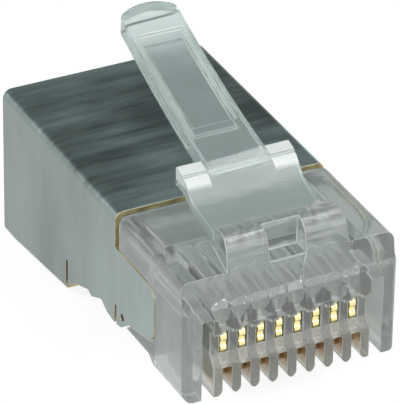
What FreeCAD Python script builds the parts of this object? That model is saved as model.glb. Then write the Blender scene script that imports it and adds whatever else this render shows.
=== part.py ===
import FreeCAD, Part
import os

# Shielded modular plug, 8 positions and 8 contacts, in millimetres.
# Every profile is drawn with x = 0 on the front face of the comb, z = 0 on the lowest line of the
# rear, and the width spread evenly about y = 0.  The nodes' Placement then moves the model so that
# the origin lies under the middle of its bounding box.

SIZES = {
    # outer body
    "plug_width": 11.68,
    "plug_length": 21.46,
    "body_top": 8.43,
    "nose_height": 6.55,
    "middle_height": 5.98,
    "comb_length": 3.3,
    "comb_ramp": 0.8,
    "rear_ramp_end": 9.6,
    "taper_rise": 0.70,
    "lip_length": 1.26,
    "rear_inset": 0.26,
    # stepped front above the comb
    "brow_drop": 2.01,
    "brow_lean": 0.08,
    "brow_bevel": 0.43,
    "ledge_drop": 1.23,
    "ledge_depth": 0.52,
    "top_front_depth": 0.70,
    # rounded corners
    "top_round": 0.50,
    "foot_round": 0.35,
    "corner_round": 0.50,
    # sheet-metal shield
    "sheet": 0.28,
    "shield_front": 7.95,
    "housing_step": 7.50,
    "wing_drop": 1.98,
    "wing_front": 3.50,
    "wing_bevel_length": 0.60,
    "wing_bevel_drop": 0.40,
    "wing_height": 2.65,
    "wing_toe": 0.40,
    "wing_gap": 0.05,
    "slit_width": 0.20,
    "flap_length": 7.71,
    "rear_slit_top": 2.48,
    "front_slit_depth": 7.80,
    "front_slit_rise": 0.65,
    "hem_reach": 0.75,
    "seam_gap": 0.40,
    "fold_round": 0.20,
    "dimple_depth": 7.10,
    "dimple_rise": 0.35,
    "dimple_radius": 0.20,
    # comb, contact slots and side grooves
    "contact_count": 8,
    "contact_pitch": 1.016,
    "slot_width": 0.50,
    "slot_length": 4.15,
    "slot_mouth": 0.66,
    "slot_ceiling": 5.57,
    "grip_foot": 3.95,
    "tip_height": 0.42,
    "tip_round": 0.10,
    "tip_belly": 0.17,
    "tip_width": 0.06,
    "groove_outer": 4.95,
    "groove_length": 3.9,
    "groove_ceiling": 6.35,
    # recessed band and bar across the front of the comb
    "band_depth": 0.45,
    "band_top": 5.38,
    "band_rear_foot": 4.10,
    "band_front_foot": 3.58,
    "bar_foot": 3.45,
    # contact blades
    "blade_thickness": 0.35,
    "blade_setback": 0.55,
    "blade_length": 3.40,
    "blade_foot": 2.41,
    "blade_top": 5.42,
    "blade_corner": 0.55,
    "barb_start": 4.05,
    "barb_length": 0.40,
    "barb_reach": 0.08,
    "barb_pitch": 0.60,
    "tooth_count": 3,
    "tooth_pitch": 0.85,
    "tooth_first": 1.70,
    "tooth_tip": 6.20,
    "tooth_root": 5.25,
    # conductor channels, cable entry and strain relief
    "wire_bore": 0.92,
    "wire_height": 6.15,
    "wire_front": 1.20,
    "tray_front": 4.75,
    "tray_rear": 9.8,
    "tray_floor": 5.40,
    "tray_round": 0.35,
    "entry_length": 7.26,
    "entry_width": 9.4,
    "entry_floor": 1.30,
    "entry_ceiling": 7.30,
    "entry_round": 0.80,
    "window_front": 6.0,
    "window_rear": 9.0,
    "window_width": 8.2,
    "window_ceiling": 5.95,
    "relief_length": 1.40,
    "relief_rise": 2.20,
    "relief_slant": 0.25,
    "relief_web": 0.30,
    "relief_web_length": 0.60,
    "relief_gap": 0.30,
    # latch root on the nose
    "latch_width": 6.24,
    "hinge_depth": 3.15,
    "hinge_height": 9.22,
    "bead_radius": 0.30,
    "bead_gap": 0.03,
    "root_crest_depth": 1.72,
    "root_crest": 10.02,
    "root_rear_top": 9.58,
    "root_round_depth": 1.08,
    "root_round_height": 9.70,
    "root_face_depth": 0.80,
    "root_face_top": 8.95,
    "root_rear_width": 5.70,
    "root_front_width": 7.00,
    "valley_width": 2.00,
    "lobe_proud": 0.20,
    "leg_foot": 5.85,
    "leg_outer_round": 0.80,
    "leg_inner_round": 0.50,
    "leg_waist": 6.90,
    "leg_flank": 0.35,
    "leg_back": 1.10,
    "leg_parting": 1.00,
    # latch
    "ramp_depth": 4.95,
    "ramp_height": 9.86,
    "arm_thickness": 0.55,
    "arm_root_width": 5.70,
    "shoulder_front": 6.10,
    "shoulder_top": 10.84,
    "shoulder_rear": 6.80,
    "shoulder_foot": 9.98,
    "shoulder_rise": 0.20,
    "ledge_width": 0.22,
    "ledge_step": 0.14,
    "tail_width": 3.42,
    "tail_tip_width": 3.18,
    "tail_lead": 0.25,
    "tail_root_top": 11.14,
    "tail_tip_depth": 16.85,
    "tail_tip_top": 14.66,
    "tail_tip_bow": 0.48,
    "tail_bow": 0.28,
    "tail_root_thickness": 0.90,
    "tail_tip_thickness": 1.04,
    "rail_width": 0.40,
    "panel_front": 8.7,
    "panel_rear": 14.9,
    "panel_sink": 0.16,
    "channel_rise": 0.24,
    "tail_edge_round": 0.18,
    "tail_corner_round": 0.45,
}

# Free lower edges of the shield, in front of the front slit and behind it. Each point is a share of
# the way from one slit or toe to the next, and a height above the foot of the housing's middle as a
# share of the edge's reach.
WING_HEM = [(0.54, 0.667), (0.67, 0.28), (0.87, -0.467)]
MIDDLE_HEM = [
    (0.04, -0.573), (0.16, -0.453), (0.28, 0.04), (0.49, -0.64), (0.58, -0.347), (0.82, -1.0)]


class Values:
    """The sizes as attributes, so that a profile can be written with their names."""

    def __init__(self, table):
        self.__dict__.update(table)


v = Values(SIZES)
comb_foot = v.body_top - v.nose_height
middle_foot = v.body_top - v.middle_height
half_width = v.plug_width / 2
inner_half = half_width - v.sheet
half_latch = v.latch_width / 2
seat_top = v.body_top - v.sheet
wing_top = v.body_top - v.wing_drop
wing_foot = wing_top - v.wing_bevel_drop - v.wing_height
front_slit_top = middle_foot + v.front_slit_rise
taper_rear = v.plug_length - v.lip_length
flap_front = v.plug_length - v.flap_length
rear_slit = flap_front - v.slit_width
entry_front = v.plug_length - v.entry_length
first_spot = -(v.contact_count - 1) / 2 * v.contact_pitch
comb_half = (v.contact_count + 1) / 2 * v.contact_pitch - v.slot_width / 2

doc = FreeCAD.newDocument("ModularPlug")


def make_sheet():
    """Driving dimensions, one named cell each."""
    sheet = doc.addObject("Spreadsheet::Sheet", "Sizes")
    for row, (name, value) in enumerate(SIZES.items(), start=1):
        sheet.set(f"A{row}", name)
        sheet.set(f"B{row}", str(value))
        sheet.setAlias(f"B{row}", name)
    doc.recompute()


# ---------------------------------------------------------------- outlines

def point(x, y):
    return FreeCAD.Vector(x, y, 0)


def loop(corners):
    """Closed outline: (x, y) ends a straight line, (via_x, via_y, x, y) ends an arc."""
    edges = []
    here = point(*corners[0][-2:])
    for corner in corners[1:] + corners[:1]:
        there = point(*corner[-2:])
        if len(corner) == 4:
            edges.append(Part.Arc(here, point(*corner[:2]), there))
        else:
            edges.append(Part.LineSegment(here, there))
        here = there
    return edges


def box(x0, x1, y0, y1):
    return loop([(x0, y0), (x1, y0), (x1, y1), (x0, y1)])


def circle(x, y, radius):
    return [Part.Circle(point(x, y), FreeCAD.Vector(0, 0, 1), radius)]


def round_off(x, y, radius, side, rise):
    """Point half-way round the arc that rounds the corner (x, y); side and rise point outwards."""
    inset = radius * (1 - 0.5 ** 0.5)
    return (x - side * inset, y - rise * inset)


def arch(half, high, radius, low):
    """Corners from the right foot over two rounded shoulders to the left foot."""
    return [
        (half, low),
        (half, high - radius),
        (*round_off(half, high, radius, 1, 1), half - radius, high),
        (-half + radius, high),
        (*round_off(-half, high, radius, -1, 1), -half, high - radius),
        (-half, low),
    ]


def rounded_section(half, low, high, foot_radius, top_radius):
    """Section with one radius at its two foot corners and another at its two top corners."""
    return loop([
        (*round_off(half, low, foot_radius, 1, -1), half, low + foot_radius),
        *arch(half, high, top_radius, low + foot_radius)[1:],
        (*round_off(-half, low, foot_radius, -1, -1), -half + foot_radius, low),
        (half - foot_radius, low),
    ])


# ---------------------------------------------------------------- features

def origin_item(body, role):
    return [item for item in body.Origin.OriginFeatures if item.Role == role][0]


def new_body(name):
    body = doc.addObject("PartDesign::Body", name)
    body.Label = name
    return body


def sketch(body, name, role, edges, offset=None):
    """Sketch on one of the body's own planes, moved along its normal by an expression."""
    item = body.newObject("Sketcher::SketchObject", name)
    item.AttachmentSupport = [(origin_item(body, role), "")]
    item.MapMode = "FlatFace"
    item.addGeometry(edges, False)
    if offset:
        item.setExpression("AttachmentOffset.Base.z", offset)
    return item


def extrude(body, kind, profile, length, both_sides=False, reverse=False):
    """Pad or Pocket whose length is an expression of the sheet."""
    item = body.newObject("PartDesign::" + kind, profile.Name + kind)
    item.Profile = profile
    item.SideType = "Symmetric" if both_sides else "One side"
    item.Reversed = reverse
    item.setExpression("Length", length)
    return item


def across(body, kind, name, edges, width):
    """Side profile carried evenly to both sides of the middle plane."""
    return extrude(body, kind, sketch(body, name, "XZ_Plane", edges), width, both_sides=True)


def mirror_across(body, features):
    item = body.newObject("PartDesign::Mirrored", features[0].Name + "Mirror")
    item.Originals = features
    item.MirrorPlane = (origin_item(body, "XZ_Plane"), [""])
    body.Tip = item
    return item


def repeat_positions(body, features):
    """One copy of the features at each contact position, starting from the first at -y."""
    item = body.newObject("PartDesign::LinearPattern", features[0].Name + "Pattern")
    item.Originals = features
    item.Direction = (origin_item(body, "Y_Axis"), [""])
    item.Mode = "Spacing"
    item.setExpression("Offset", "Sizes.contact_pitch")
    item.setExpression("Occurrences", "Sizes.contact_count")
    body.Tip = item
    return item


def fillet(body, name, test, radius):
    """Fillet on the edges of the body's last feature that pass the test."""
    doc.recompute()
    base = body.Tip
    picked = [f"Edge{i}" for i, edge in enumerate(base.Shape.Edges, start=1) if test(edge)]
    item = body.newObject("PartDesign::Fillet", name)
    item.Base = (base, picked)
    item.setExpression("Radius", radius)
    return item


def place(item):
    """Bring the middle of the bounding box over the origin."""
    item.setExpression("Placement.Base.x", "Sizes.plug_length / 2 - Sizes.lobe_proud / 2")


# ---------------------------------------------------------------- housing

def housing_side():
    """Comb, shallow middle, tapered rear, seat of the shield and stepped front."""
    rear = -v.plug_length + v.rear_inset
    brow = v.body_top - v.brow_drop
    return loop([
        (0, comb_foot),
        (0, brow),
        (-v.brow_lean, brow + v.brow_bevel),
        (-v.ledge_depth, v.body_top - v.ledge_drop),
        (-v.top_front_depth, v.body_top),
        (-v.housing_step, v.body_top),
        (-v.housing_step, seat_top),
        (rear, seat_top),
        (rear, v.sheet),
        (-taper_rear, v.sheet),
        (-flap_front, v.sheet + v.taper_rise),
        (-v.rear_ramp_end, middle_foot),
        (-v.comb_length - v.comb_ramp, middle_foot),
        (-v.comb_length, comb_foot),
    ])


def round_nose(body):
    """Rounds the long edges of the nose and its two upright front corners."""
    far = half_width + 1
    around = box(-far, far, comb_foot - 1, v.body_top + 1)
    keep = rounded_section(half_width, comb_foot, v.body_top, v.foot_round, v.top_round)
    extrude(body, "Pocket", sketch(body, "NoseEdges", "YZ_Plane", around + keep),
            "Sizes.housing_step")
    behind = -v.plug_length - 1
    around = box(behind - 1, 1, -far, far)
    keep = [
        (*round_off(0, half_width, v.corner_round, 1, 1), -v.corner_round, half_width),
        (behind, half_width),
        (behind, -half_width),
        (-v.corner_round, -half_width),
        (*round_off(0, -half_width, v.corner_round, 1, -1), 0, -half_width + v.corner_round),
        (0, half_width - v.corner_round),
    ]
    extrude(body, "Pocket", sketch(body, "NoseCorners", "XY_Plane", around + loop(keep)),
            "3 * Sizes.body_top", both_sides=True)


def hem_line(table, start, end):
    """Points of a free lower edge between two depths."""
    return [(-start - share * (end - start), middle_foot + rise * v.hem_reach)
            for share, rise in table]


def wing_edge(gap):
    """Free edge of the shield's wing from its top round to the hem, grown by a gap."""
    front = -v.wing_front + gap
    toe = v.wing_front + v.wing_toe
    hem = [(x + gap, z - gap) for x, z in hem_line(WING_HEM, toe, v.front_slit_depth)]
    return [
        (front - v.wing_bevel_length, wing_top + gap),
        (front, wing_top - v.wing_bevel_drop),
        (front, wing_foot + v.wing_toe),
        (front - v.wing_toe, wing_foot - gap),
        *hem,
    ]


def cut_shield_seat(body):
    """Lowers the rear by the sheet's thickness, and the sides where the wings lie."""
    far = half_width + 1
    outside = [(-far, -1), (-far, v.body_top + 1), (far, v.body_top + 1), (far, -1)]
    radius = v.top_round - v.sheet
    seat = sketch(body, "ShieldSeat", "YZ_Plane",
                  loop(outside + arch(inner_half, seat_top, radius, -1)), "-Sizes.housing_step")
    extrude(body, "Pocket", seat, "Sizes.plug_length")
    behind = -v.housing_step - 1
    wing = sketch(body, "WingSeat", "XZ_Plane",
                  loop([(behind, wing_top + v.wing_gap), *wing_edge(v.wing_gap), (behind, 0)]),
                  "Sizes.plug_width / 2 - Sizes.sheet")
    mirror_across(body, [extrude(body, "Pocket", wing, "Sizes.sheet + 1", reverse=True)])


def shifted(corner, step):
    """The same corner a step further along its first axis."""
    return tuple(value + step * (index % 2 == 0) for index, value in enumerate(corner))


def slot_section(ceiling):
    """Front view of one contact slot, flared at the foot so that the walls end in points."""
    half = v.slot_width / 2
    middle = v.contact_pitch / 2
    belly = middle - v.tip_belly
    edge = middle - v.tip_width / 2
    side = [
        (half, ceiling),
        (half, comb_foot + v.tip_height),
        (belly, comb_foot + v.tip_round, edge, comb_foot),
        (edge, comb_foot - 1),
    ]
    other = [
        (-edge, comb_foot - 1),
        (-edge, comb_foot),
        (-belly, comb_foot + v.tip_round, -half, comb_foot + v.tip_height),
        (-half, ceiling),
    ]
    return loop([shifted(corner, first_spot) for corner in side + other])


def cut_positions(body):
    """At each position: slot mouth, slot, grip for the blade, way for its teeth and wire bore."""
    left = first_spot - v.blade_thickness / 2
    right = first_spot + v.blade_thickness / 2
    mouth = sketch(body, "SlotMouth", "YZ_Plane", slot_section(v.slot_ceiling))
    run = sketch(body, "SlotRun", "YZ_Plane", slot_section(v.grip_foot))
    grip = sketch(body, "SlotGrip", "YZ_Plane",
                  box(left, right, v.grip_foot - v.tip_height, v.slot_ceiling))
    way = sketch(body, "ToothWay", "YZ_Plane", box(left, right, v.grip_foot, v.wire_height),
                 "-Sizes.wire_front")
    bore = sketch(body, "WireBore", "YZ_Plane",
                  circle(first_spot, v.wire_height, v.wire_bore / 2), "-Sizes.wire_front")
    cuts = [
        extrude(body, "Pocket", mouth, "Sizes.slot_mouth"),
        extrude(body, "Pocket", run, "Sizes.slot_length"),
        extrude(body, "Pocket", grip, "Sizes.slot_length"),
        extrude(body, "Pocket", way, "Sizes.slot_length - Sizes.wire_front"),
        extrude(body, "Pocket", bore, "Sizes.tray_front - Sizes.wire_front"),
    ]
    repeat_positions(body, cuts)


def cut_side_grooves(body):
    """Open groove between each end wall of the comb and the outer wall."""
    groove = sketch(body, "SideGroove", "YZ_Plane",
                    box(comb_half, v.groove_outer, comb_foot - 1, v.groove_ceiling))
    mirror_across(body, [extrude(body, "Pocket", groove, "Sizes.groove_length")])


def cut_front_band(body):
    """Band sunk into the front of the comb, and the bar that bridges the slots below it."""
    band = loop([
        (0, v.band_front_foot),
        (-v.band_depth, v.band_rear_foot),
        (-v.band_depth, v.band_top),
        (0, v.band_top),
    ])
    width = "(Sizes.contact_count + 1) * Sizes.contact_pitch - Sizes.slot_width"
    across(body, "Pocket", "FrontBand", band, width)
    bar = loop([
        (0, v.bar_foot),
        (-v.band_depth, v.bar_foot),
        (-v.band_depth, v.band_rear_foot),
        (0, v.band_front_foot),
    ])
    across(body, "Pad", "FrontBar", bar, width)


def cut_cable_entry(body):
    """Cable entry from the rear, wire tray over the blades' bores, and the slope between them."""
    half = v.entry_width / 2
    section = rounded_section(half, v.entry_floor, v.entry_ceiling, v.entry_round, v.entry_round)
    tray = rounded_section(half, v.tray_floor, v.entry_ceiling, v.tray_round, v.tray_round)
    behind = "Sizes.entry_length - Sizes.plug_length"
    entry = sketch(body, "CableEntry", "YZ_Plane", section, behind)
    extrude(body, "Pocket", entry, "Sizes.entry_length")
    run = sketch(body, "WireTray", "YZ_Plane", tray, "-Sizes.tray_front")
    extrude(body, "Pocket", run, "Sizes.tray_rear - Sizes.tray_front")
    slope = body.newObject("PartDesign::SubtractiveLoft", "Funnel")
    slope.Profile = sketch(body, "FunnelRear", "YZ_Plane", section, behind)
    slope.Sections = [sketch(body, "FunnelFront", "YZ_Plane", tray, "-Sizes.tray_rear")]
    slope.Ruled = True


def make_strain_relief(body):
    """Window under the conductors, and the webbed bar that is pressed up against them."""
    rear = -v.window_rear
    window = box(rear, -v.window_front, middle_foot - 1, v.window_ceiling)
    across(body, "Pocket", "ReliefWindow", window, "Sizes.window_width")
    toe = rear + v.relief_web_length + v.relief_length
    crest = middle_foot + v.relief_rise
    bar = [
        (rear - v.relief_web, middle_foot),
        (toe, middle_foot),
        (toe + v.relief_slant, crest - v.relief_length),
        (toe - v.relief_slant, crest),
        (toe - v.relief_length + v.relief_slant, crest - v.relief_slant),
        (toe - v.relief_length, middle_foot + v.relief_web),
        (rear - v.relief_web, middle_foot + v.relief_web),
    ]
    across(body, "Pad", "ReliefBar", loop(bar), "Sizes.window_width - 2 * Sizes.relief_gap")


def make_housing_shell():
    body = new_body("housing_shell")
    across(body, "Pad", "Side", housing_side(), "Sizes.plug_width")
    round_nose(body)
    cut_shield_seat(body)
    cut_positions(body)
    cut_side_grooves(body)
    cut_front_band(body)
    cut_cable_entry(body)
    make_strain_relief(body)
    return body


def leg_front(side):
    """Front view of one leg: upright outer flank, rounded foot, and an inner flank that leans."""
    outer = v.root_front_width / 2
    inner = v.leg_parting / 2
    foot = v.leg_foot
    wide = v.leg_outer_round
    slim = v.leg_inner_round
    corners = [
        (outer, v.body_top),
        (outer, foot + wide),
        (*round_off(outer, foot, wide, 1, -1), outer - wide, foot),
        (inner + slim, foot),
        (*round_off(inner, foot, slim, -1, -1), inner, foot + slim),
        (inner, v.leg_waist),
        (v.valley_width / 2, v.body_top),
    ]
    turned = [[value * (side if index % 2 == 0 else 1) for index, value in enumerate(corner)]
              for corner in corners]
    return loop(turned)


def make_latch_root():
    """Block that carries the latch, with two rounded legs that run down the front of the nose."""
    body = new_body("latch_root")
    rear = v.root_rear_width / 2
    outer = v.root_front_width / 2
    inner = v.leg_parting / 2
    sink = v.body_top - v.sheet
    proud = v.lobe_proud
    plan = loop([(-v.hinge_depth, rear), (-v.hinge_depth, -rear), (proud, -outer), (proud, outer)])
    extrude(body, "Pad", sketch(body, "Block", "XY_Plane", plan, "Sizes.body_top - Sizes.sheet"),
            "Sizes.root_crest - Sizes.body_top + Sizes.sheet")
    valley = box(-v.valley_width / 2, v.valley_width / 2, sink - 1, v.root_crest + 1)
    extrude(body, "Pocket", sketch(body, "Valley", "YZ_Plane", valley, "Sizes.lobe_proud"),
            "Sizes.root_crest_depth + Sizes.lobe_proud")
    legs = sketch(body, "Legs", "YZ_Plane", leg_front(-1) + leg_front(1), "Sizes.lobe_proud")
    extrude(body, "Pad", legs, "Sizes.leg_back + Sizes.lobe_proud", reverse=True)
    brow = v.body_top - v.brow_drop
    high = v.root_crest + 1
    crown = loop([
        (-v.hinge_depth, v.root_rear_top),
        (-v.root_crest_depth, v.root_crest),
        (-v.root_round_depth, v.root_round_height, -v.root_face_depth, v.root_face_top),
        (-v.ledge_depth + proud, v.body_top - v.ledge_drop),
        (proud, brow),
        (1, brow),
        (1, high),
        (-v.hinge_depth, high),
    ])
    across(body, "Pocket", "Crown", crown, "Sizes.root_front_width + 1")
    middle = (outer + inner) / 2
    far = outer + 1
    bulge = loop([
        (proud + 1, -far),
        (-v.leg_flank, -far),
        (-v.leg_flank, -outer),
        (proud, -middle, -v.leg_flank, -inner),
        (-v.leg_flank, inner),
        (proud, middle, -v.leg_flank, outer),
        (-v.leg_flank, far),
        (proud + 1, far),
    ])
    extrude(body, "Pocket", sketch(body, "LegRounds", "XY_Plane", bulge, "Sizes.body_top"),
            "Sizes.body_top - Sizes.leg_foot + 1")
    groove = circle(-v.hinge_depth, v.hinge_height, v.bead_radius + v.bead_gap)
    across(body, "Pocket", "HingeGroove", groove, "Sizes.latch_width + 1")
    return body


def make_housing():
    """Clear moulding: the shell and the latch root are one piece."""
    housing = doc.addObject("Part::Fuse", "housing")
    housing.Label = "housing"
    housing.Base = make_housing_shell()
    housing.Tool = make_latch_root()
    place(housing)
    return housing


# ---------------------------------------------------------------- latch

def bowed(points, depth):
    """Height at a depth on the arc through three (depth, height) points."""
    curve = Part.Arc(*[point(-d, z) for d, z in points]).toShape().Curve
    return curve.Center.y - (curve.Radius ** 2 - (curve.Center.x + depth) ** 2) ** 0.5


def sagging(start, end):
    """A point, the middle of the line to the other, let down by the tail's bow, and the other."""
    middle = ((start[0] + end[0]) / 2, (start[1] + end[1]) / 2 - v.tail_bow)
    return [start, middle, end]


def tail_top():
    return sagging((v.shoulder_front + v.tail_lead, v.tail_root_top),
                   (v.tail_tip_depth, v.tail_tip_top))


def tail_foot():
    return sagging((v.shoulder_rear, v.tail_root_top - v.tail_root_thickness),
                   (v.tail_tip_depth, v.tail_tip_top - v.tail_tip_thickness))


def arm_profile():
    """Thin arm from the bead, lead-in ramp, and the shoulders that lock behind the jack."""
    bead = v.bead_radius
    ledge = -v.shoulder_front + v.ledge_width
    return loop([
        (-v.hinge_depth + bead, v.hinge_height, -v.hinge_depth, v.hinge_height + bead),
        (-v.ramp_depth, v.ramp_height),
        (ledge, v.shoulder_top - v.ledge_step),
        (-v.shoulder_front, v.shoulder_top - v.ledge_step),
        (-v.shoulder_front, v.shoulder_top),
        (-v.shoulder_rear, v.shoulder_top + v.shoulder_rise),
        (-v.shoulder_rear, v.shoulder_foot),
        (-v.shoulder_front, v.shoulder_foot),
        (-v.ramp_depth, v.ramp_height - v.arm_thickness),
        (-v.hinge_depth, v.hinge_height - bead),
    ])


def tail_profile():
    """Tail that bows upwards; its end is left square here and rounded in plan."""
    top = [(-depth, height) for depth, height in tail_top()]
    foot = [(-depth, height) for depth, height in tail_foot()]
    spare = -v.tail_tip_depth - v.tail_tip_bow
    return loop([
        (-v.ramp_depth, v.ramp_height - v.arm_thickness / 2),
        top[0],
        (*top[1], *top[2]),
        (spare, top[2][1]),
        (spare, foot[2][1]),
        foot[2],
        (*foot[1], *foot[0]),
        (-v.shoulder_front, v.shoulder_foot),
    ])


def tail_outside():
    """Plan of all that is cut away round the tail: tapered sides and a rounded end."""
    wide = v.tail_width / 2
    slim = v.tail_tip_width / 2
    corner = -v.tail_tip_depth + v.tail_tip_bow
    beyond = -v.tail_tip_depth - 2 * v.tail_tip_bow
    return loop([
        (-v.shoulder_rear, wide),
        (-v.shoulder_rear, wide + 1),
        (beyond, wide + 1),
        (beyond, -wide - 1),
        (-v.shoulder_rear, -wide - 1),
        (-v.shoulder_rear, -wide),
        (corner, -slim),
        (-v.tail_tip_depth, 0, corner, slim),
    ])


def tail_corner(edge):
    """Whether an edge stands at a side of the tail's end."""
    bounds = edge.BoundBox
    flat = max(bounds.XLength, bounds.YLength)
    end = -v.tail_tip_depth + 2 * v.tail_tip_bow
    return flat < v.tail_edge_round and bounds.ZLength > v.tail_edge_round and bounds.XMax < end


def tail_rim(edge):
    """Whether an edge lies on the outer rim of the tail's top."""
    bounds = edge.BoundBox
    share = (-bounds.Center.x - v.shoulder_rear) / (v.tail_tip_depth - v.shoulder_rear)
    level = v.tail_root_top + share * (v.tail_tip_top - v.tail_root_top) - v.tail_bow / 2
    raised = bounds.Center.z > level - v.tail_root_thickness / 2
    level_run = bounds.XLength + bounds.YLength > bounds.ZLength
    nearest = min(abs(bounds.YMin), abs(bounds.YMax))
    farthest = max(abs(bounds.YMin), abs(bounds.YMax))
    beside = nearest > (v.tail_tip_width - v.rail_width) / 2
    behind = bounds.XMax < -(v.panel_rear + v.tail_tip_depth) / 2
    inside = farthest < (v.tail_width + v.rail_width) / 2 and share > 0
    return raised and level_run and inside and (beside or behind)


def sunk_strip(points, front, rear, shift):
    """Side profile of a shallow recess whose floor runs parallel to a bowed face."""
    middle = (front + rear) / 2
    floor = [(-d, bowed(points, d) - shift) for d in (front, middle, rear)]
    lift = 1 if shift > 0 else -1
    return loop([
        floor[0],
        (*floor[1], *floor[2]),
        (-rear, floor[2][1] + lift),
        (-middle, floor[1][1] + lift),
        (-front, floor[0][1] + lift),
    ])


def make_latch():
    """Latch: bead, arm, ramped shoulders and tail; the bead turns in the latch root."""
    body = new_body("latch")
    across(body, "Pad", "Arm", arm_profile(), "Sizes.latch_width")
    across(body, "Pad", "Tail", tail_profile(), "Sizes.tail_width")
    extrude(body, "Pocket", sketch(body, "TailOutside", "XY_Plane", tail_outside()),
            "4 * Sizes.tail_tip_top", both_sides=True)
    slim = v.arm_root_width / 2
    sides = sketch(body, "ArmSides", "XY_Plane",
                   loop([(-v.shoulder_front, half_latch), (0, slim), (0, half_latch)]))
    mirror_across(body, [extrude(body, "Pocket", sides, "4 * Sizes.tail_tip_top",
                                 both_sides=True)])
    panel = sunk_strip(tail_top(), v.panel_front, v.panel_rear, v.panel_sink)
    across(body, "Pocket", "Panel", panel, "Sizes.tail_tip_width - 2 * Sizes.rail_width")
    channel = sunk_strip(tail_foot(), v.panel_front, v.panel_rear, -v.channel_rise)
    across(body, "Pocket", "Channel", channel, "Sizes.tail_tip_width - 2 * Sizes.rail_width")
    fillet(body, "CornerRound", tail_corner, "Sizes.tail_corner_round")
    fillet(body, "RimRound", tail_rim, "Sizes.tail_edge_round")
    place(body)
    return body


# ---------------------------------------------------------------- contacts

def blade_profile():
    """Blade with a rounded running corner, two small barbs in front and piercing teeth on top."""
    front = -v.blade_setback
    rear = front - v.blade_length
    barbs = []
    for index in range(2):
        foot = v.barb_start + index * v.barb_pitch
        barbs += [(front, foot),
                  (front + v.barb_reach, foot + v.barb_length / 2, front, foot + v.barb_length)]
    half_tooth = v.tooth_pitch / 2
    teeth = []
    for index in range(v.tooth_count):
        tip = -v.tooth_first - index * v.tooth_pitch
        teeth += [(tip, v.tooth_tip), (tip - half_tooth, v.tooth_root)]
    corner = v.blade_corner
    return loop([
        (*round_off(front, v.blade_foot, corner, 1, -1), front, v.blade_foot + corner),
        *barbs,
        (front, v.blade_top),
        (-v.tooth_first + half_tooth, v.blade_top),
        *teeth,
        (rear, v.tooth_root),
        (rear, v.blade_foot),
        (front - corner, v.blade_foot),
    ])


def make_contact(index):
    body = new_body(f"contact_{index + 1}")
    across(body, "Pad", f"Blade{index + 1}", blade_profile(), "Sizes.blade_thickness")
    place(body)
    spot = f"({index} - (Sizes.contact_count - 1) / 2) * Sizes.contact_pitch"
    body.setExpression("Placement.Base.y", spot)
    return body


# ---------------------------------------------------------------- shield

def shield_side():
    """Side outline of the shield: top, front edge, wing, hem with two slits, and rear flap."""
    behind = -v.plug_length - 1
    slit = -v.front_slit_depth
    hem = hem_line(MIDDLE_HEM, v.front_slit_depth + v.slit_width, rear_slit)
    return loop([
        (behind, 0),
        (behind, v.body_top + 1),
        (-v.shield_front, v.body_top + 1),
        (-v.shield_front, wing_top),
        *wing_edge(0),
        (slit, hem[0][1]),
        (slit, front_slit_top),
        (slit - v.slit_width, front_slit_top),
        (slit - v.slit_width, hem[0][1]),
        *hem,
        (-rear_slit, v.taper_rise + v.sheet),
        (-rear_slit, v.rear_slit_top),
        (-flap_front, v.rear_slit_top),
        (-flap_front, v.taper_rise),
        (-taper_rear, 0),
    ])


def make_shield():
    """Folded sheet: an arch over the body, trimmed to its side outline, with two rear flaps."""
    body = new_body("shield")
    radius = v.top_round
    outer = arch(half_width, v.body_top, radius, -1)
    inner = arch(inner_half, seat_top, radius - v.sheet, -1)
    arch_loop = sketch(body, "Arch", "YZ_Plane", loop(outer + mirrored(inner)),
                       "-Sizes.wing_front")
    extrude(body, "Pad", arch_loop, "Sizes.plug_length - Sizes.wing_front", reverse=True)
    around = box(-v.plug_length - 2, 0, -2, v.body_top + 2)
    across(body, "Pocket", "SideTrim", around + shield_side(), "Sizes.plug_width + 1")
    flap = loop([
        (-v.plug_length, 0),
        (-taper_rear, 0),
        (-flap_front, v.taper_rise),
        (-flap_front, v.taper_rise + v.sheet),
        (-taper_rear, v.sheet),
        (-v.plug_length, v.sheet),
    ])
    across(body, "Pad", "Flap", flap, "Sizes.plug_width")
    seam = sketch(body, "Seam", "XY_Plane",
                  box(-v.plug_length - 1, -flap_front + 1, -v.seam_gap / 2, v.seam_gap / 2))
    extrude(body, "Pocket", seam, "2 * Sizes.taper_rise + 4 * Sizes.sheet", both_sides=True)
    across(body, "Pocket", "Dimple", circle(-v.dimple_depth, middle_foot + v.dimple_rise, v.dimple_radius),
           "Sizes.plug_width + 1")

    def fold_line(edge):
        box_ = edge.BoundBox
        outside = min(abs(box_.YMin), abs(box_.YMax)) > half_width - v.sheet / 2
        low = box_.ZMax < v.taper_rise + v.sheet / 2
        return outside and low and box_.XLength > v.sheet

    fillet(body, "FoldRound", fold_line, "Sizes.fold_round")
    place(body)
    return body


def mirrored(corners):
    """The same arch walked the other way round, so that two arches close into one strip."""
    path = [corners[-1]]
    for corner, before in zip(reversed(corners), list(reversed(corners))[1:]):
        path.append((*corner[:2], *before[-2:]) if len(corner) == 4 else before[-2:])
    return path


# ---------------------------------------------------------------- model

def check(items):
    doc.recompute()
    for item in doc.Objects:
        if {"Invalid", "Error"} & set(item.State):
            raise RuntimeError(f"{item.Name} failed: {item.State}")
    for item in items:
        shape = item.Shape
        if shape.isNull() or not shape.isValid():
            raise RuntimeError(f"{item.Label} has no valid shape")


def main():
    make_sheet()
    nodes = [make_housing(), make_latch(), make_shield()]
    nodes += [make_contact(index) for index in range(v.contact_count)]
    check(nodes)
    os.makedirs("parts", exist_ok=True)
    for node in nodes:
        node.Shape.exportStep(f"parts/{node.Label}.step")
        print(node.Label, len(node.Shape.Solids), round(node.Shape.Volume, 3), node.Shape.BoundBox)


main()
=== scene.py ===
import math

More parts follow.
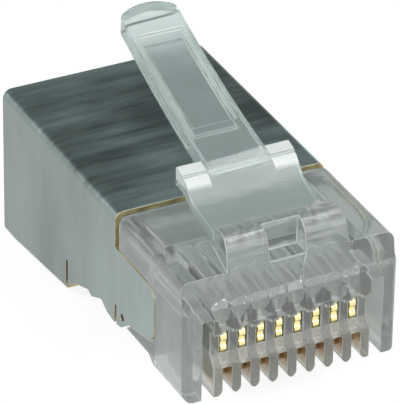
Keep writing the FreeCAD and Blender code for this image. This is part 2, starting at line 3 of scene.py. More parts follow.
import bmesh
import bpy
import numpy as np
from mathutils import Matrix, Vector


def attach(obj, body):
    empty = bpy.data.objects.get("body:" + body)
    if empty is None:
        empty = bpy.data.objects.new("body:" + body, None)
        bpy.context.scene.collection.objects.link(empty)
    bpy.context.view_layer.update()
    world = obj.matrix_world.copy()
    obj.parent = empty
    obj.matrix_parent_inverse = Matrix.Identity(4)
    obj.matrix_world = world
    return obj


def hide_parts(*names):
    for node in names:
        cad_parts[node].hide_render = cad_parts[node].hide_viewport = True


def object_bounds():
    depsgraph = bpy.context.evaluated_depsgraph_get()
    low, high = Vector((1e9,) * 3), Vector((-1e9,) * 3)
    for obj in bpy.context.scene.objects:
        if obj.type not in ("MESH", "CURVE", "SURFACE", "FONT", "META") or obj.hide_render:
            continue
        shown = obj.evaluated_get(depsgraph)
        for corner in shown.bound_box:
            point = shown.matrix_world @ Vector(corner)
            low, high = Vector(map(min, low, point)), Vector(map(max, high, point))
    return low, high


bl_info = {
    "name": "Shielded Modular Plug",
    "version": (1, 0, 0),
    "blender": (4, 5, 0),
    "location": "View3D > Sidebar > Modular Plug",
    "description": "Builds the clear housing, latch, shield and gilt blades of a modular plug",
    "category": "Add Mesh",
}

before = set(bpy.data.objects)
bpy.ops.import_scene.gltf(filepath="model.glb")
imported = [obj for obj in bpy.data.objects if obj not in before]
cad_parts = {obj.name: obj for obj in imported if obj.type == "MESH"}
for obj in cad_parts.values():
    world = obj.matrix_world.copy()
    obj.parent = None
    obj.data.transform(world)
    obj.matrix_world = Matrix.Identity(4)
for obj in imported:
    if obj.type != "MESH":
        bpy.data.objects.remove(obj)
CAD_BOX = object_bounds()

MM = 0.001


# ---------------------------------------------------------------- settings

class PlugSizes(bpy.types.PropertyGroup):
    """Sizes that a user would change, in metres."""

    edge_round: bpy.props.FloatProperty(
        name="Moulded edge", description="Radius of the moulding's edges",
        default=0.07 * MM, unit="LENGTH", precision=6)
    sheet_edge: bpy.props.FloatProperty(
        name="Sheet edge", description="Radius of the shield's cut edges",
        default=0.03 * MM, unit="LENGTH", precision=6)
    blade_edge: bpy.props.FloatProperty(
        name="Blade edge", description="Radius of the blades' edges",
        default=0.04 * MM, unit="LENGTH", precision=6)


class PlugColours(bpy.types.PropertyGroup):
    """Colours and finishes that a user would change."""

    clear: bpy.props.FloatVectorProperty(
        name="Clear plastic", description="Tint of the light that passes the moulding",
        subtype="COLOR", size=3, default=(0.575, 0.605, 0.59))
    # Painted shade: the housing's outer side walls take a darker tint than the rest, for the shade
    # that falls on them.
    flank_shade: bpy.props.FloatVectorProperty(
        name="Nose sides", description="Tint of the nose's outer side walls",
        subtype="COLOR", size=3, default=(0.48, 0.51, 0.49))
    # Partly painted light: the tail's thick end is cloudier and also tinted lighter, for the light
    # that it catches.
    tip: bpy.props.FloatVectorProperty(
        name="Tail tip", description="Tint of the thick end of the tail",
        subtype="COLOR", size=3, default=(0.72, 0.80, 0.785))
    # Painted highlight: the plastic's rounded edges take a pale, less clear tint, for the glints
    # on them.
    edge_highlight: bpy.props.FloatVectorProperty(
        name="Moulded edges", description="Tint of the plastic's rounded edges",
        subtype="COLOR", size=3, default=(0.92, 0.95, 0.93))
    latch: bpy.props.FloatVectorProperty(
        name="Latch", description="Tint of the latch's plastic",
        subtype="COLOR", size=3, default=(0.53, 0.595, 0.585))
    comb: bpy.props.FloatVectorProperty(
        name="Comb", description="Tint of the moulding at the contact slots",
        subtype="COLOR", size=3, default=(0.60, 0.595, 0.545))
    # Painted reflection: the slots' walls beside the blades' feet take a brown tint, for the
    # blades mirrored in them.
    blade_reflection: bpy.props.FloatVectorProperty(
        name="Slot walls", description="Tint of the slots' walls beside the blades' feet",
        subtype="COLOR", size=3, default=(0.38, 0.245, 0.12))
    # Painted highlight: the latch's shoulders take a near-white, barely clear tint, for the light
    # that they mirror.
    shoulder_highlight: bpy.props.FloatVectorProperty(
        name="Shoulders", description="Tint of the latch's pale shoulders",
        subtype="COLOR", size=3, default=(0.97, 1.0, 0.98))
    nickel: bpy.props.FloatVectorProperty(
        name="Nickel plate", description="Colour of the shield",
        subtype="COLOR", size=3, default=(0.266, 0.320, 0.311))
    brass: bpy.props.FloatVectorProperty(
        name="Cut edge", description="Colour of the sheet where it is cut",
        subtype="COLOR", size=3, default=(0.62, 0.50, 0.25))
    gilt: bpy.props.FloatVectorProperty(
        name="Gold plate", description="Colour of the blades",
        subtype="COLOR", size=3, default=(0.98, 0.85, 0.42))
    # Painted shade: the blades below the height of their contact faces, and their rounded edges,
    # take this dark brown, for the shade on them.
    gold_shade: bpy.props.FloatVectorProperty(
        name="Blade alloy", description="Colour of the blades below their plating",
        subtype="COLOR", size=3, default=(0.42, 0.27, 0.13))


def sizes():
    """The sizes as the panel has them."""
    return bpy.context.scene.plug_sizes


def colours():
    """The colours as the panel has them."""
    return bpy.context.scene.plug_colours


# ---------------------------------------------------------------- materials

WHITE = (1, 1, 1, 1)
# Shader nodes stand on a grid in the order that they are made: how many in a row, and their space.
NODE_ROW = 6
NODE_SPACE = (220, 320)

# Places in the plug: along it from its middle, out from its middle plane, or up from its bottom.
NOSE_FACE = 10.63 * MM
COMB_REAR = 6.60 * MM
COMB_HALF = 4.32 * MM
COMB_TOP = 5.30 * MM
SLOTS_HALF = 4.00 * MM
BLADE_FOOT = 2.41 * MM
# Top of the painted shade on the blades' lower part.
BLADE_SHADE_TOP = 3.55 * MM
PLATE_TOP = 5.06 * MM
FLANK_SIDE = 5.60 * MM
SHOULDER_SIDE = 1.72 * MM
SHOULDER_FOOT = 10.20 * MM
TIP_FOOT = 13.20 * MM

# Areas that have a look of their own. An area is where all its spans hold, and a span is the axis
# that it is measured on, where it is nought and where it is one. "side" is the distance from the
# plug's middle plane.
AHEAD_OF_REAR = ("X", COMB_REAR, COMB_REAR + 0.60 * MM)
COMB = (AHEAD_OF_REAR,
        ("side", COMB_HALF + 0.02 * MM, COMB_HALF),
        ("Z", COMB_TOP + 1.00 * MM, COMB_TOP))
# Where the blades' reflection is painted into the slots' walls.
SLOT_FEET = (AHEAD_OF_REAR,
             ("X", NOSE_FACE - 0.02 * MM, NOSE_FACE - 0.10 * MM),
             ("side", SLOTS_HALF + 0.02 * MM, SLOTS_HALF),
             ("Z", BLADE_FOOT - 0.15 * MM, BLADE_FOOT),
             ("Z", BLADE_SHADE_TOP, BLADE_SHADE_TOP - 0.20 * MM))
# Where shade is painted on the housing's outer side walls.
FLANKS = (("side", FLANK_SIDE, FLANK_SIDE + 0.20 * MM),)
# Where a highlight is painted on the latch's shoulders.
SHOULDERS = (("side", SHOULDER_SIDE, SHOULDER_SIDE + 0.06 * MM),
             ("Z", SHOULDER_FOOT, SHOULDER_FOOT + 0.30 * MM))
# Where light is painted on the tail's tip, which is also cloudier.
TAIL_TIP = (("Z", TIP_FOOT, TIP_FOOT + 0.80 * MM),)
# Gold above the blades' painted shade.
GOLD_ABOVE_SHADE = (("Z", BLADE_SHADE_TOP, BLADE_SHADE_TOP + 0.30 * MM),)
COVERED = (("Z", PLATE_TOP, PLATE_TOP + 0.15 * MM),)


def feed(tree, socket, value):
    """Links another node's output to a socket, or sets the socket's own value."""
    if isinstance(value, bpy.types.NodeSocket):
        tree.links.new(value, socket)
    else:
        socket.default_value = value


def node(tree, kind, **values):
    """New shader node, next on the grid, with its sockets fed and its own properties set by
    name."""
    made = tree.nodes.new(kind)
    row, column = divmod(len(tree.nodes) - 1, NODE_ROW)
    made.location = (column * NODE_SPACE[0], -row * NODE_SPACE[1])
    for name, value in values.items():
        socket = made.inputs.get(name.replace("_", " "))
        if socket is not None:
            feed(tree, socket, value)
        else:
            setattr(made, name, value)
    return made


def blank_material(name):
    """New material and its empty node tree."""
    material = bpy.data.materials.new(name)
    material.use_nodes = True
    material.node_tree.nodes.clear()
    return material, material.node_tree


def maths(tree, operation, *values):
    """Result of one operation on numbers or other nodes' outputs."""
    made = node(tree, "ShaderNodeMath", operation=operation)
    for socket, value in zip(made.inputs, values):
        feed(tree, socket, value)
    return made.outputs["Value"]


def ranged(tree, value, start, end, low=0.0, high=1.0, **values):
    """Value that goes from low at start to high at end and is level beyond them."""
    span = node(tree, "ShaderNodeMapRange", Value=value, From_Min=start, From_Max=end,
                To_Min=low, To_Max=high, **values)
    return span.outputs["Result"]


def mixed(tree, kind, share, first, second):
    """First where share is nought, second where it is one, as colours or as plain numbers."""
    mixer = node(tree, "ShaderNodeMix", data_type=kind, Factor=share)
    carried = "RGBA" if kind == "RGBA" else "VALUE"
    sides = [socket for socket in mixer.inputs
             if socket.type == carried and socket.name != "Factor"]
    feed(tree, sides[0], first)
    feed(tree, sides[1], second)
    return [socket for socket in mixer.outputs if socket.type == carried][0]


def mixed_shaders(tree, share, first, second):
    """First shader where share is nought, second where it is one."""
    mixer = node(tree, "ShaderNodeMixShader", Fac=share)
    tree.links.new(first, mixer.inputs[1])
    tree.links.new(second, mixer.inputs[2])
    return mixer.outputs["Shader"]


def two_shades(tree, value, colour, dark, light):
    """Shade of a colour that value picks between a dark and a light stop, each its position and
    its share of the colour."""
    ramp = node(tree, "ShaderNodeValToRGB", Fac=value)
    for stop, (position, share) in zip(list(ramp.color_ramp.elements), (dark, light)):
        stop.position = position
        stop.color = (*[min(1, part * share) for part in colour], 1)
    return ramp.outputs["Color"]


def object_place(tree):
    """Place on the piece, in metres along its own axes."""
    return node(tree, "ShaderNodeTexCoord").outputs["Object"]


def measured(tree, where, axis):
    """Place along one axis, or for "side" the distance from the plug's middle plane."""
    parts = node(tree, "ShaderNodeSeparateXYZ", Vector=where)
    if axis == "side":
        return maths(tree, "ABSOLUTE", parts.outputs["Y"])
    return parts.outputs[axis]


def area_mask(tree, where, spans):
    """One in an area and nought away from it, with soft borders: the product of its spans."""
    shares = [ranged(tree, measured(tree, where, axis), start, end,
                     interpolation_type="SMOOTHSTEP") for axis, start, end in spans]
    mask = shares[0]
    for share in shares[1:]:
        mask = maths(tree, "MULTIPLY", mask, share)
    return mask


def stretched_noise(tree, where, repeats, **values):
    """Noise with its own number of repeats a metre along each axis."""
    scaled = node(tree, "ShaderNodeMapping", Vector=where, Scale=repeats)
    noise = node(tree, "ShaderNodeTexNoise", Vector=scaled.outputs["Vector"], Scale=1.0,
                 **values)
    return noise.outputs["Fac"]


# How far the flow marks spread the roughness, each way, as a share of it.
HAZE_SPREAD = 0.5
# Tint of the shadow rays that pass, and how strongly depth soaks up light, and its tint.
SHADOW_TINT = (0.88, 0.92, 0.91, 1)
SOAK = 10.0
SOAK_TINT = (0.78, 0.86, 0.84, 1)


def clear_plastic(name, tint, roughness, clearness, areas=()):
    """Clear moulded plastic: refracting, faintly tinted, with flow marks in its gloss. Shadow
    rays pass it with a faint tint, and its depth soaks up light. areas lists the places that
    differ, each as its spans, its tint and its clearness."""
    material, tree = blank_material(name)
    where = object_place(tree)
    flow = node(tree, "ShaderNodeTexNoise", Vector=where, Scale=700.0, Detail=3.0,
                Roughness=0.5).outputs["Fac"]
    haze = ranged(tree, flow, 0.0, 1.0, roughness * (1 - HAZE_SPREAD),
                  roughness * (1 + HAZE_SPREAD))
    bump = node(tree, "ShaderNodeBump", Strength=0.5, Distance=0.08 * MM, Height=flow)
    glass = node(tree, "ShaderNodeBsdfPrincipled", IOR=1.58, Base_Color=(*tint, 1),
                 Transmission_Weight=clearness, Roughness=haze, Normal=bump.outputs["Normal"])
    tints, clearnesses = (*tint, 1), clearness
    for spans, own_tint, own_clearness in areas:
        mask = area_mask(tree, where, spans)
        tints = mixed(tree, "RGBA", mask, tints, (*own_tint, 1))
        clearnesses = mixed(tree, "FLOAT", mask, clearnesses, own_clearness)
    feed(tree, glass.inputs["Base Color"], tints)
    feed(tree, glass.inputs["Transmission Weight"], clearnesses)
    shadow = node(tree, "ShaderNodeLightPath").outputs["Is Shadow Ray"]
    passing = node(tree, "ShaderNodeBsdfTransparent", Color=SHADOW_TINT)
    soak = node(tree, "ShaderNodeVolumeAbsorption", Density=SOAK, Color=SOAK_TINT)
    node(tree, "ShaderNodeOutputMaterial", Volume=soak.outputs["Volume"],
         Surface=mixed_shaders(tree, shadow, glass.outputs["BSDF"], passing.outputs["BSDF"]))
    return material


# Noise of the nickel: repeats a metre along each axis, and the grain's share in the patches.
GRAIN = (1600, 140, 140)
CLOUDS = (240, 95, 95)
GRAIN_SHARE = 0.4
# Painted sheen: what the patches gain along the plug, for the reflection towards the front: from
# where, to where, and how much at each end.
FRONT_SHEEN = (-4.0 * MM, 7.0 * MM, -0.01, 0.15)
# How much the patches calm down out from the middle plane, in that order, and to what level.
SIDE_CALM = (5.72 * MM, 5.82 * MM, 0.0, 0.78)
CALM_LEVEL = 0.47
# Stops of the shade, each its position and its share of the colour, and the roughness's range.
NICKEL_DARK = (0.42, 0.62)
NICKEL_LIGHT = (0.60, 1.55)
NICKEL_GLOSS = (0.26, 0.46)


def brushed_nickel(name, colour):
    """Nickel-plated sheet with a grain across the width, under broad cloudy patches. A painted
    sheen makes it lighter towards the front, and its sides are calmer than its top."""
    material, tree = blank_material(name)
    where = object_place(tree)
    grain = stretched_noise(tree, where, GRAIN, Detail=6.0, Roughness=0.7)
    clouds = stretched_noise(tree, where, CLOUDS, Detail=3.0, Roughness=0.55)
    patches = maths(tree, "MULTIPLY_ADD", grain, GRAIN_SHARE,
                    maths(tree, "MULTIPLY", clouds, 1 - GRAIN_SHARE))
    # Painted sheen: lighter towards the front.
    sheen = ranged(tree, measured(tree, where, "X"), *FRONT_SHEEN)
    calm = ranged(tree, measured(tree, where, "side"), *SIDE_CALM)
    level = mixed(tree, "FLOAT", calm, maths(tree, "ADD", patches, sheen), CALM_LEVEL)
    shade = two_shades(tree, level, colour, NICKEL_DARK, NICKEL_LIGHT)
    bump = node(tree, "ShaderNodeBump", Strength=0.16, Distance=0.02 * MM, Height=grain)
    metal = node(tree, "ShaderNodeBsdfPrincipled", Metallic=1.0, Base_Color=shade,
                 Roughness=ranged(tree, grain, 0.0, 1.0, *NICKEL_GLOSS),
                 Normal=bump.outputs["Normal"])
    node(tree, "ShaderNodeOutputMaterial", Surface=metal.outputs["BSDF"])
    return material


# Stops of the shade, each its position and its share of the colour.
TARNISH_DARK = (0.35, 0.5)
TARNISH_LIGHT = (0.65, 1.0)


def cut_edge(name, colour):
    """Bare metal at a cut edge, with tarnished patches; on the blades' edges it stands as painted
    shade.
    """
    material, tree = blank_material(name)
    patches = node(tree, "ShaderNodeTexNoise", Vector=object_place(tree), Scale=1500.0,
                   Detail=4.0)
    shade = two_shades(tree, patches.outputs["Fac"], colour, TARNISH_DARK, TARNISH_LIGHT)
    metal = node(tree, "ShaderNodeBsdfPrincipled", Metallic=0.8, Roughness=0.45,
                 Base_Color=shade)
    node(tree, "ShaderNodeOutputMaterial", Surface=metal.outputs["BSDF"])
    return material


# Faint marks in the gold: repeats a metre along each axis, and the range of its roughness.
WIPE_MARKS = (800, 3000, 800)
GILT_GLOSS = (0.16, 0.34)
PLAIN_METAL = (0.34, 0.34, 0.32, 1)


def gold_plate(name, colour, shade_colour):
    """Gold plate at the height of the contact faces, painted shade in the shade colour below it,
    and plain grey metal above it, where the moulding covers the blade."""
    material, tree = blank_material(name)
    where = object_place(tree)
    marks = stretched_noise(tree, where, WIPE_MARKS, Detail=4.0)
    # plated is the gold over the painted shade below it.
    plated = mixed(tree, "RGBA", area_mask(tree, where, GOLD_ABOVE_SHADE), (*shade_colour, 1),
                   (*colour, 1))
    shade = mixed(tree, "RGBA", area_mask(tree, where, COVERED), plated, PLAIN_METAL)
    metal = node(tree, "ShaderNodeBsdfPrincipled", Metallic=1.0, Base_Color=shade,
                 Roughness=ranged(tree, marks, 0.0, 1.0, *GILT_GLOSS))
    node(tree, "ShaderNodeOutputMaterial", Surface=metal.outputs["BSDF"])
    return material


def seen_ray(tree):
    """One for rays from the camera, in gloss and through clear plastic, nought for the rest."""
    rays = node(tree, "ShaderNodeLightPath")
    seen = rays.outputs["Is Camera Ray"]
    for kind in ("Is Transmission Ray", "Is Glossy Ray"):
        seen = maths(tree, "MAXIMUM", seen, rays.outputs[kind])
    return seen


FLOOR_MATT = (0.8, 0.8, 0.8, 1)
FLOOR_FAINT = (0.25, 0.25, 0.25, 1)
FLOOR_GLOW = 0.86


def backdrop_paint(name):
    """Floor that shows white, in metal and through clear plastic too, with a faint soft shadow."""
    material, tree = blank_material(name)
    matt = node(tree, "ShaderNodeBsdfDiffuse", Color=FLOOR_MATT)
    faint = node(tree, "ShaderNodeBsdfDiffuse", Color=FLOOR_FAINT)
    glow = node(tree, "ShaderNodeEmission", Color=WHITE, Strength=FLOOR_GLOW)
    pale = node(tree, "ShaderNodeAddShader")
    tree.links.new(glow.outputs["Emission"], pale.inputs[0])
    tree.links.new(faint.outputs["BSDF"], pale.inputs[1])
    node(tree, "ShaderNodeOutputMaterial", Surface=mixed_shaders(
        tree, seen_ray(tree), matt.outputs["BSDF"], pale.outputs["Shader"]))
    return material


def dress(item, *materials):
    """Gives a piece these materials in place of its own."""
    item.data.materials.clear()
    for material in materials:
        item.data.materials.append(material)


# ---------------------------------------------------------------- moulded and cut edges

# Points nearer than SEAM are one, and faces that turn by less than FLAT are joined.
SEAM = 0.0002 * MM
FLAT = math.radians(0.6)
# Edges that turn by more than SHARP are rounded, by at most the room beside them over ROOM_PARTS.
SHARP = math.radians(55)
ROOM_PARTS = 3
ROUND_STEPS = 2
# Faces that turn by less than SMOOTH are shaded as one.
SMOOTH = math.radians(25)
# A face with more corners than this that faces none of the axes is split in triangles.
MANY_CORNERS = 30
FACES_AXIS = 0.9
# The sheet's thickness, how far its inner skin is drawn back, and how near a point on it lies.
SHEET = 0.28 * MM
EASE = 0.01 * MM
ON_SKIN = EASE / 4
# A face looks along an axis if that part of its normal is over FACING, and is edge-on to it if
# the part is under EDGE_ON. The seam is within the MIDDLE share of the half width, and points are
# on a skin to within the SLACK share of the sheet's thickness.
FACING = 0.7
EDGE_ON = 0.3
MIDDLE = 0.25
SLACK = 0.25


def merged_copy(node_name, piece_name):
    """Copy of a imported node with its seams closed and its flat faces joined."""
    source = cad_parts[node_name]
    shape = bmesh.new()
    shape.from_mesh(source.data)
    shape.transform(source.matrix_world)
    bmesh.ops.remove_doubles(shape, verts=shape.verts, dist=SEAM)
    bmesh.ops.dissolve_limit(shape, angle_limit=FLAT, verts=shape.verts, edges=shape.edges)
    mesh = bpy.data.meshes.new(piece_name)
    shape.to_mesh(mesh)
    shape.free()
    piece = bpy.data.objects.new(piece_name, mesh)
    bpy.context.scene.collection.objects.link(piece)
    return piece


def read(items, name, width, kind=np.float64):
    """A mesh attribute as an array with one row an item."""
    values = np.empty(len(items) * width, kind)
    items.foreach_get(name, values)
    return values.reshape(len(items), width) if width > 1 else values


def face_room(corners):
    """Room at each edge of a flat face: the least of its distance from the corners that it doesn't
    join, and of its own two corners' distances from the edges that they aren't on."""
    count = len(corners)
    run = np.roll(corners, -1, axis=0) - corners
    offset = corners[:, None, :] - corners[None, :, :]
    share = np.clip(np.einsum("kij,ij->ki", offset, run) / np.sum(run * run, axis=1), 0, 1)
    gap = np.linalg.norm(offset - share[:, :, None] * run[None, :, :], axis=2)
    index = np.arange(count)
    gap[index, index] = np.inf
    gap[(index + 1) % count, index] = np.inf
    from_corner = gap.min(axis=1)
    return np.minimum(gap.min(axis=0), np.minimum(from_corner, np.roll(from_corner, -1)))


def edge_weights(mesh, round_size):
    """Share of the rounding that each edge takes: nought where it isn't sharp, else the room
    beside it over a fixed number of roundings, at most one."""
    points = read(mesh.vertices, "co", 3)
    normals = read(mesh.polygons, "normal", 3)
    counts = read(mesh.polygons, "loop_total", 1, np.int64)
    corners = read(mesh.loops, "vertex_index", 1, np.int64)
    beside = read(mesh.loops, "edge_index", 1, np.int64)
    rooms = [face_room(points[run]) for run in np.split(corners, np.cumsum(counts)[:-1])]
    room = np.full(len(mesh.edges), np.inf)
    np.minimum.at(room, beside, np.concatenate(rooms))
    face = np.repeat(np.arange(len(counts)), counts)
    order = np.argsort(beside, kind="stable")
    beside, face = beside[order], face[order]
    pair = np.flatnonzero(beside[1:] == beside[:-1])
    turn = np.zeros(len(mesh.edges))
    alike = np.sum(normals[face[pair]] * normals[face[pair + 1]], axis=1)
    turn[beside[pair]] = np.arccos(np.clip(alike, -1, 1))
    return np.where(turn > SHARP, np.minimum(room / (ROOM_PARTS * round_size), 1), 0)


def rounded_piece(node_name, piece_name, body, round_size, edge_slot=-1):
    """The node's merged copy with its sharp edges rounded, shown in its place. edge_slot is the
    material slot of the rounded edges, or minus one for that of the faces beside them."""
    piece = merged_copy(node_name, piece_name)
    mesh = piece.data
    weights = mesh.attributes.new("bevel_weight_edge", "FLOAT", "EDGE")
    weights.data.foreach_set("value", edge_weights(mesh, round_size))
    shape = bmesh.new()
    shape.from_mesh(mesh)
    slanted = [face for face in shape.faces
               if len(face.verts) > MANY_CORNERS
               and max(abs(part) for part in face.normal) < FACES_AXIS]
    bmesh.ops.triangulate(shape, faces=slanted)
    shape.to_mesh(mesh)
    shape.free()
    mesh.polygons.foreach_set("use_smooth", np.ones(len(mesh.polygons), bool))
    mesh.set_sharp_from_angle(angle=SMOOTH)
    rounding = piece.modifiers.new("rounding", "BEVEL")
    rounding.width = round_size
    rounding.segments = ROUND_STEPS
    rounding.material = edge_slot
    rounding.limit_method = "WEIGHT"
    rounding.use_clamp_overlap = False
    flat = piece.modifiers.new("flat_faces", "WEIGHTED_NORMAL")
    flat.keep_sharp = True
    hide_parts(node_name)
    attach(piece, body)
    return piece


def ease_inner_skin(mesh, thickness):
    """Draws the shield's inner skin back from the plastic under it: points at the sheet's
    thickness inside the widest and highest ones go outwards by a fixed small step."""
    points = read(mesh.vertices, "co", 3)
    side = np.abs(points[:, 1])
    inner = np.abs(side - (side.max() - thickness)) < ON_SKIN
    points[inner, 1] += np.sign(points[inner, 1]) * EASE
    under = np.abs(points[:, 2] - (points[:, 2].max() - thickness)) < ON_SKIN
    points[under, 2] += EASE
    mesh.vertices.foreach_set("co", points.ravel())


def mark_cut_faces(mesh, thickness):
    """Gives the second material to faces across the sheet's thickness: those that face along the
    plug, those at the middle seam, and those that reach from the outer skin to the inner one."""
    points = read(mesh.vertices, "co", 3)
    normals = np.abs(read(mesh.polygons, "normal", 3))
    corners = read(mesh.loops, "vertex_index", 1, np.int64)
    starts = read(mesh.polygons, "loop_start", 1, np.int64)
    side = np.abs(points[corners, 1])
    near = np.minimum.reduceat(side, starts)
    far = np.maximum.reduceat(side, starts)
    skin = np.abs(points[:, 1]).max()
    slack = thickness * SLACK
    along = normals[:, 0] > FACING
    seam = (normals[:, 1] > FACING) & (far < skin * MIDDLE)
    through = (far > skin - slack) & (near < skin - thickness + slack)
    across = (normals[:, 1] < EDGE_ON) & through & (near > skin - thickness - slack)
    mesh.polygons.foreach_set("material_index", (along | seam | across).astype(np.int32))


# ---------------------------------------------------------------- pieces

class PLUG_OT_housing(bpy.types.Operator):
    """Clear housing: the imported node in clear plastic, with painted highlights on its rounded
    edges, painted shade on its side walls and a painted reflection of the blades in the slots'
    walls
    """

    bl_idname = "plug.housing"
    bl_label = "Clear Housing"

    def execute(self, context):
        housing = rounded_piece("housing", "clear_housing", "plug", sizes().edge_round,
                                edge_slot=1)
        dress(housing,
              clear_plastic("clear_housing", colours().clear, roughness=0.10, clearness=0.75,
                            areas=((FLANKS, colours().flank_shade, 0.70),
                                   (COMB, colours().comb, 0.70),
                                   (SLOT_FEET, colours().blade_reflection, 0.55))),
              clear_plastic("clear_highlit_edges", colours().edge_highlight, roughness=0.05, clearness=0.55))
        return {"FINISHED"}


class PLUG_OT_latch(bpy.types.Operator):
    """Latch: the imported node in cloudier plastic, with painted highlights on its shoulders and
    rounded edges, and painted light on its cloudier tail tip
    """

    bl_idname = "plug.latch"
    bl_label = "Latch"

    def execute(self, context):
        latch = rounded_piece("latch", "sprung_latch", "latch", sizes().edge_round,
                              edge_slot=1)
        dress(latch,
              clear_plastic("clear_latch", colours().latch, roughness=0.20, clearness=0.72,
                            areas=((TAIL_TIP, colours().tip, 0.66),
                                   (SHOULDERS, colours().shoulder_highlight, 0.12))),
              clear_plastic("latch_highlit_edges", colours().edge_highlight, roughness=0.08, clearness=0.55))
        return {"FINISHED"}


class PLUG_OT_shield(bpy.types.Operator):
    """Shield: folded nickel-plated sheet, brassy where it is cut"""

    bl_idname = "plug.shield"
    bl_label = "Shield"

    def execute(self, context):
        shield = rounded_piece("shield", "folded_shield", "plug", sizes().sheet_edge)
        dress(shield, brushed_nickel("nickel_sheet", colours().nickel),
              cut_edge("cut_brass", colours().brass))
        ease_inner_skin(shield.data, SHEET)
        mark_cut_faces(shield.data, SHEET)
        return {"FINISHED"}


class PLUG_OT_contacts(bpy.types.Operator):
    """Contacts: eight gold-plated blades with painted shade on their lower part and edges"""

    bl_idname = "plug.contacts"
    bl_label = "Contact Blades"

    def execute(self, context):
        gilt = gold_plate("gold_plate", colours().gilt, colours().gold_shade)
        # Painted shade on the blades' rounded edges, in the shade colour.
        edge_shade_paint = cut_edge("blade_edges_shaded", colours().gold_shade)
        for name in sorted(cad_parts):
            if name.startswith("contact_"):
                blade = rounded_piece(name, name.replace("contact", "blade"), "plug",
                                      sizes().blade_edge, edge_slot=1)
                dress(blade, gilt, edge_shade_paint)
        return {"FINISHED"}


# ---------------------------------------------------------------- stage

# Camera: place in metres, turn in degrees about X, Y and Z, and lens in millimetres.
CAMERA_PLACE = (0.158964, -0.08064, 0.11460)
CAMERA_TURN = (58.6653, -0.7260, 63.4846)
CAMERA_LENS = 367.69
ROOM_COLOUR = (0.90, 0.96, 0.95, 1)
ROOM_LEVEL = 0.24
# Corners of a square two wide, in order round it.
QUAD = ((-1, -1), (1, -1), (1, 1), (-1, 1))
FLOOR_HALF = 0.6
FLOOR_DROP = 0.02 * MM
# Card: turn and rise of its direction in degrees, reach along it and sides in metres.
CARD_COLOUR = (0.87, 1.0, 1.0, 1)
CARD_TURN = (153.0, 40.0)
CARD_REACH = 0.45
CARD_WIDTH = 1.1
CARD_HEIGHT = 0.7
LAMP_TARGET = (0, 0, 0.005)
# Square lamps: name, place and side in metres, and power in watts.
LAMPS = (
    ("key", (0.10, -0.16, 0.20), 0.07, 0.26),
    ("fill", (0.20, 0.12, 0.12), 0.14, 0.08),
    ("over", (0.02, 0.10, 0.23), 0.10, 0.10),
    ("left_edge", (-0.04, -0.21, 0.12), 0.02, 0.025),
    ("front_edge", (0.21, 0.06, 0.16), 0.02, 0.06),
)


def area_lamp(name, place, side, power):
    """Square lamp that faces the plug."""
    data = bpy.data.lights.new(name, "AREA")
    data.shape = "SQUARE"
    data.size = side
    data.energy = power
    lamp = bpy.data.objects.new(name, data)
    bpy.context.scene.collection.objects.link(lamp)
    lamp.location = place
    aim = Vector(LAMP_TARGET) - Vector(place)
    lamp.rotation_euler = aim.to_track_quat("-Z", "Y").to_euler()


def flat_piece(name, corners, material):
    """One quad through four corners, in a material."""
    mesh = bpy.data.meshes.new(name)
    mesh.from_pydata(corners, [], [(0, 1, 2, 3)])
    item = bpy.data.objects.new(name, mesh)
    bpy.context.scene.collection.objects.link(item)
    dress(item, material)
    return item


def make_floor():
    """Flat square, centred under the plug."""
    level = CAD_BOX[0].z - FLOOR_DROP
    corners = [(x * FLOOR_HALF, y * FLOOR_HALF, level) for x, y in QUAD]
    floor = flat_piece("floor", corners, backdrop_paint("floor_paint"))


def make_card():
    """Grey card behind and above the plug, there for the sheet to mirror: its middle out along
    the card's direction, its sides across that direction and up it."""
    turn, rise = (math.radians(angle) for angle in CARD_TURN)
    ahead = np.array((math.cos(rise) * math.cos(turn), math.cos(rise) * math.sin(turn),
                      math.sin(rise)))
    across = np.array((-math.sin(turn), math.cos(turn), 0.0)) * CARD_WIDTH / 2
    up = np.cross(ahead, across) / np.linalg.norm(across) * CARD_HEIGHT / 2
    signs = np.array(QUAD)
    corners = ahead * CARD_REACH + signs[:, :1] * across + signs[:, 1:] * up
    paint, tree = blank_material("card_paint")
    glow = node(tree, "ShaderNodeEmission", Color=CARD_COLOUR, Strength=ROOM_LEVEL)
    node(tree, "ShaderNodeOutputMaterial", Surface=glow.outputs["Emission"])
    card = flat_piece("card", corners, paint)
    card.visible_camera = False
    card.visible_transmission = False
    card.visible_shadow = False


def make_world():
    """White to the camera, in gloss and through the clear plastic, dimmer as a light."""
    scene = bpy.context.scene
    world = scene.world or bpy.data.worlds.new("World")
    scene.world = world
    world.use_nodes = True
    tree = world.node_tree
    tree.nodes.clear()
    dim = node(tree, "ShaderNodeBackground", Color=ROOM_COLOUR, Strength=ROOM_LEVEL)
    white = node(tree, "ShaderNodeBackground", Color=WHITE, Strength=1.0)
    node(tree, "ShaderNodeOutputWorld", Surface=mixed_shaders(
        tree, seen_ray(tree), dim.outputs["Background"], white.outputs["Background"]))


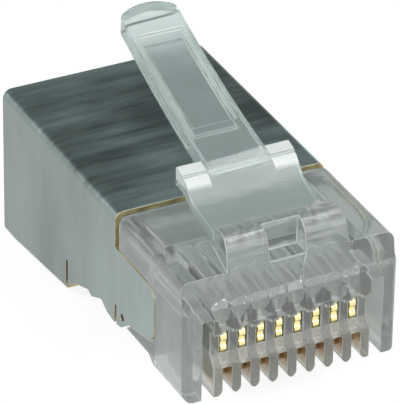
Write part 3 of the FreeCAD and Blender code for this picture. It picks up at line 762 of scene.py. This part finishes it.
class PLUG_OT_stage(bpy.types.Operator):
    """Stage: pale floor, grey card, soft lamps, world and camera"""

    bl_idname = "plug.stage"
    bl_label = "Stage"

    def execute(self, context):
        scene = context.scene
        scene.view_settings.view_transform = "Standard"
        make_floor()
        make_card()
        make_world()
        for lamp in LAMPS:
            area_lamp(*lamp)
        data = bpy.data.cameras.new("camera")
        data.lens = CAMERA_LENS
        data.sensor_width = 36
        data.sensor_fit = "AUTO"
        data.clip_start = 0.001
        data.clip_end = 10
        camera = bpy.data.objects.new("camera", data)
        camera.location = CAMERA_PLACE
        camera.rotation_euler = [math.radians(angle) for angle in CAMERA_TURN]
        scene.collection.objects.link(camera)
        bpy.context.scene.camera = camera
        return {"FINISHED"}


# ---------------------------------------------------------------- add-on

OPERATORS = (PLUG_OT_housing, PLUG_OT_latch, PLUG_OT_shield, PLUG_OT_contacts, PLUG_OT_stage)


class PLUG_PT_panel(bpy.types.Panel):
    """Panel that lists the plug's pieces and its stage"""

    bl_label = "Modular Plug"
    bl_idname = "PLUG_PT_panel"
    bl_space_type = "VIEW_3D"
    bl_region_type = "UI"
    bl_category = "Modular Plug"

    def draw(self, context):
        layout = self.layout
        for group in (context.scene.plug_sizes, context.scene.plug_colours):
            for name in group.bl_rna.properties.keys():
                if name not in {"rna_type", "name"}:
                    layout.prop(group, name)
        for operator in OPERATORS:
            layout.operator(operator.bl_idname)


CLASSES = (PlugSizes, PlugColours, *OPERATORS, PLUG_PT_panel)


def register():
    for item in CLASSES:
        bpy.utils.register_class(item)
    bpy.types.Scene.plug_sizes = bpy.props.PointerProperty(type=PlugSizes)
    bpy.types.Scene.plug_colours = bpy.props.PointerProperty(type=PlugColours)


def unregister():
    del bpy.types.Scene.plug_colours
    del bpy.types.Scene.plug_sizes
    for item in reversed(CLASSES):
        bpy.utils.unregister_class(item)


def main():
    register()
    bpy.ops.plug.housing()
    bpy.ops.plug.latch()
    bpy.ops.plug.shield()
    bpy.ops.plug.contacts()
    bpy.ops.plug.stage()


if __name__ == "__main__":
    main()
